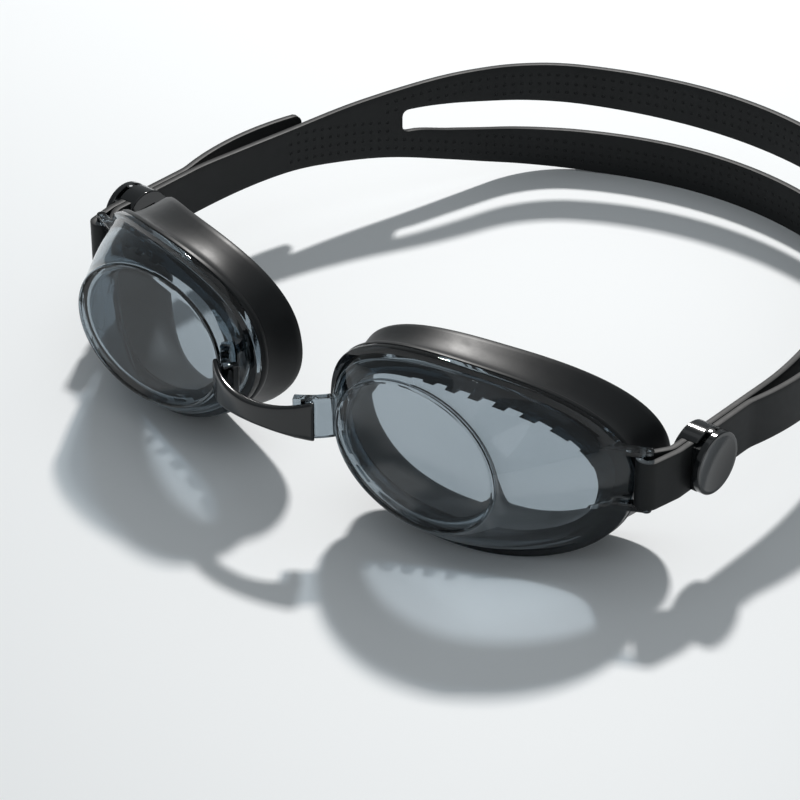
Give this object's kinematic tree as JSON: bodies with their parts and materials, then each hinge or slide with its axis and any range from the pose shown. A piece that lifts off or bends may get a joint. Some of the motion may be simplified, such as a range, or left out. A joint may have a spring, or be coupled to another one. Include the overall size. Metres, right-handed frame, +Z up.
{
  "type": "swim goggles",
  "caption": "Swim goggles with clear oval pods, soft black gaskets, a curved nose bridge and a split silicone strap on round push buckles.",
  "frame": {"origin": "on the surface the goggles lie on, under the middle of their bounding box", "axes": "+Z up, +Y from the nose bridge towards the back of the strap, +X towards the wearer's left"},
  "size_m": [0.1666, 0.1782, 0.0449],
  "materials": {
    "clear_lens": "polished smoke-tinted polycarbonate",
    "gasket_silicone": "satin soft silicone",
    "black_gloss": "gloss",
    "strap_silicone": "matt silicone with dimples",
    "steel": "bright drawn wire"
  },
  "bodies": {
    "goggles": {"lens_left": "clear_lens", "lens_right": "clear_lens", "gasket_left": "gasket_silicone", "gasket_right": "gasket_silicone", "gasket_ring_left": "clear_lens", "gasket_ring_right": "clear_lens", "nose_bridge": "black_gloss", "strap": "strap_silicone"},
    "buckle_left": {"buckle_body_left": "black_gloss", "buckle_pin_left": "steel", "buckle_spring_left": "steel"},
    "button_left": {"buckle_button_left": "black_gloss"},
    "buckle_right": {"buckle_body_right": "black_gloss", "buckle_pin_right": "steel", "buckle_spring_right": "steel"},
    "button_right": {"buckle_button_right": "black_gloss"}
  },
  "joints": [
    {"name": "buckle_left_slide", "type": "slide", "parent": "goggles", "child": "buckle_left", "axis": [0, 1, 0], "range_m": [0, 0.006]},
    {"name": "button_left_press", "type": "hinge", "parent": "buckle_left", "child": "button_left", "pos_m": [0.081, -0.03919, 0.0218], "axis": [0, 0, 1], "range_deg": [0, 10], "stiffness_Nm_per_rad": 0.05, "springref_deg": -11.46, "deforming": ["buckle_spring_left"]},
    {"name": "buckle_right_slide", "type": "slide", "parent": "goggles", "child": "buckle_right", "axis": [0, 1, 0], "range_m": [0, 0.006]},
    {"name": "button_right_press", "type": "hinge", "parent": "buckle_right", "child": "button_right", "pos_m": [-0.081, -0.03919, 0.0218], "axis": [0, 0, -1], "range_deg": [0, 10], "stiffness_Nm_per_rad": 0.05, "springref_deg": -11.46, "deforming": ["buckle_spring_right"]}
  ]
}
